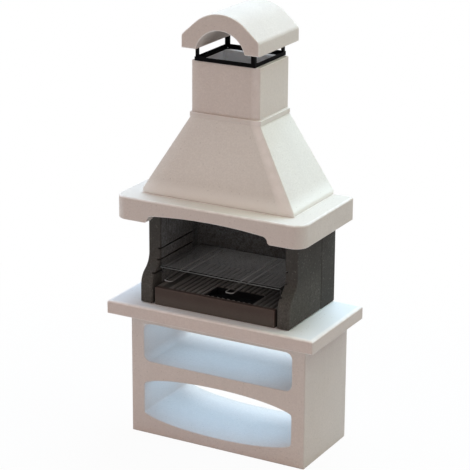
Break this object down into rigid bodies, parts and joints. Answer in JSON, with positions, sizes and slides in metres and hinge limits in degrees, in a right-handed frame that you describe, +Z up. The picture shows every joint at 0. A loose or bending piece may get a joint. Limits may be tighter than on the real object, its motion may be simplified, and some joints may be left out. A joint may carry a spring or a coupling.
{
  "type": "outdoor masonry barbecue",
  "caption": "Cast masonry barbecue with an open shelved base, a worktop, a dark refractory firebox with a sliding grill, a mantel, a pyramid hood, a flue and an arched cap.",
  "frame": {"origin": "on the ground, at the middle of the bounding box in X and Y", "axes": "+Z up, -Y towards the user in front, +X to the right seen from the front"},
  "size_m": [1.15, 0.573, 2.2211],
  "materials": {
    "pale_concrete": "fine cast, matt",
    "adhesive_mortar": "trowelled, matt",
    "refractory": "coarse cast, matt",
    "hearth_stone": "cast, matt",
    "fascia_stone": "smooth cast, matt",
    "black_steel": "satin black",
    "zinc_steel": "zinc plated",
    "bare_wire": "bright drawn wire"
  },
  "bodies": {
    "masonry": {"base_block": "pale_concrete", "worktop_slab": "pale_concrete", "mantel": "pale_concrete", "hood": "pale_concrete", "flue": "pale_concrete", "chimney_cap": "pale_concrete", "base_adhesive_bed": "adhesive_mortar", "firebox_adhesive_bed": "adhesive_mortar", "mantel_adhesive_bed_left": "adhesive_mortar", "mantel_adhesive_bed_right": "adhesive_mortar", "hood_adhesive_bed": "adhesive_mortar", "flue_adhesive_bed": "adhesive_mortar", "left_side_panel": "refractory", "right_side_panel": "refractory", "rear_wall": "refractory", "hearth_bed": "hearth_stone", "hearth_fascia": "fascia_stone", "cap_frame_ring": "black_steel", "cap_post_front_left": "black_steel", "cap_post_front_right": "black_steel", "cap_post_rear_left": "black_steel", "cap_post_rear_right": "black_steel", "anchor_screw_front_left": "zinc_steel", "anchor_screw_front_right": "zinc_steel", "anchor_screw_rear_left": "zinc_steel", "anchor_screw_rear_right": "zinc_steel"},
    "ash_pan": {"ash_pan": "black_steel"},
    "grill": {"grill_grid": "bare_wire", "grill_runner_left": "bare_wire", "grill_runner_right": "bare_wire", "grill_handle_left": "bare_wire", "grill_handle_right": "bare_wire"}
  },
  "joints": [
    {"name": "grill_slide", "type": "slide", "parent": "masonry", "child": "grill", "axis": [0, -1, 0], "range_m": [0, 0.3]},
    {"name": "ash_pan_lift", "type": "slide", "parent": "masonry", "child": "ash_pan", "axis": [0, 0, 1], "range_m": [0, 0.06]}
  ]
}
